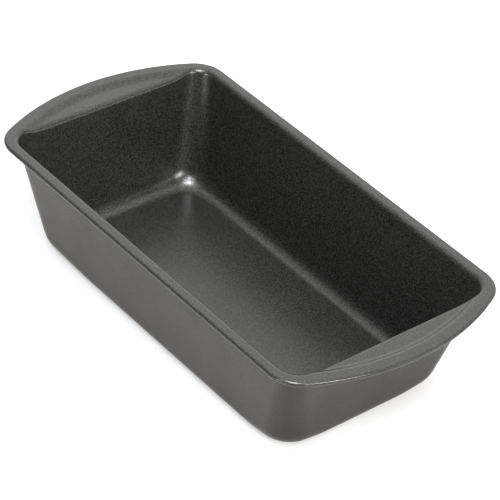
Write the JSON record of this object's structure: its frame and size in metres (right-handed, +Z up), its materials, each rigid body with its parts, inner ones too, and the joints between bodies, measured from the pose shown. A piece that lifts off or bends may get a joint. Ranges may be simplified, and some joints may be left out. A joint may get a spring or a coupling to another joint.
{
  "type": "loaf pan",
  "caption": "Rectangular loaf pan of coated drawn steel, with sloping walls, a wire-rolled rim and a bowed handle flange with a sunk crescent at each end",
  "frame": {"origin": "middle of the underside, on the plane the pan rests on", "axes": "+X along the pan's length towards one handle, +Y across it, +Z up"},
  "size_m": [0.277, 0.1434, 0.066],
  "materials": {
    "steel_sheet": "satin",
    "steel_wire": "satin",
    "nonstick_film": "satin",
    "backing_film": "satin"
  },
  "bodies": {
    "root": {"pan_body": "steel_sheet", "rim_wire": "steel_wire", "food_side_coating": "nonstick_film", "outside_coating": "backing_film"}
  },
  "joints": []
}
